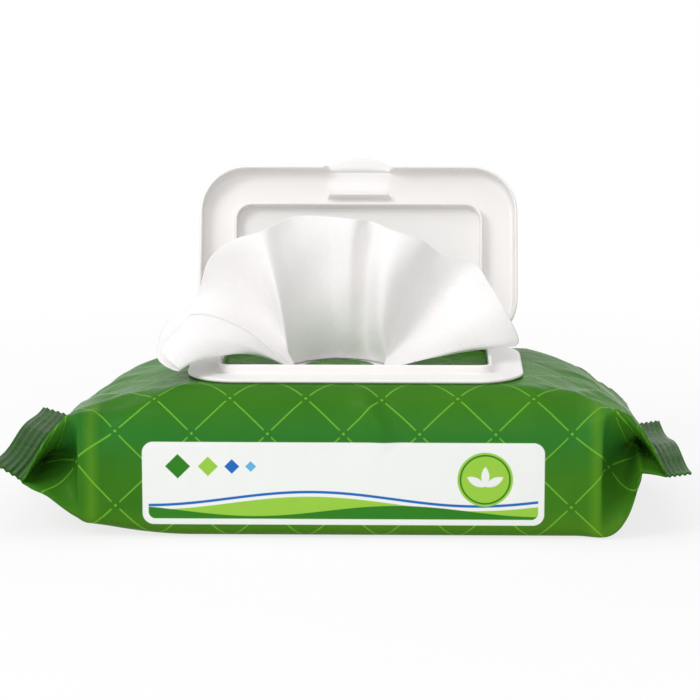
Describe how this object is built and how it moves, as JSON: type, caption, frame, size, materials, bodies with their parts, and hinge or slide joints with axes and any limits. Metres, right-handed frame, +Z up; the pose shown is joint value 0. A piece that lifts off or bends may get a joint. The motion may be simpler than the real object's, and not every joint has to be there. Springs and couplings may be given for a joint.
{
  "type": "wet wipes pack",
  "caption": "Soft film pouch of folded wet cloths with tucked, crimped ends and a hinged flip-top lid, drawn open with the next cloth pulled up through the slot.",
  "frame": {"origin": "middle of the pack's flat underside", "axes": "+X along the pack's length, +Y towards the lid's hinge at the rear, +Z up"},
  "size_m": [0.271, 0.1331, 0.1349],
  "materials": {
    "film": "gloss",
    "cloth": "matte",
    "glue": "satin",
    "lid_plastic": "satin"
  },
  "bodies": {
    "pack": {"film_pouch": "film", "wipe_stack": "cloth", "pulled_wipe": "cloth", "adhesive_ring": "glue", "lid_base": "lid_plastic"},
    "lid": {"lid": "lid_plastic"}
  },
  "joints": [
    {"name": "lid_hinge", "type": "hinge", "parent": "pack", "child": "lid", "pos_m": [0.004, 0.0408, 0.0614], "axis": [1, 0, 0], "range_deg": [-20, 114], "deforming": ["pulled_wipe"]}
  ]
}
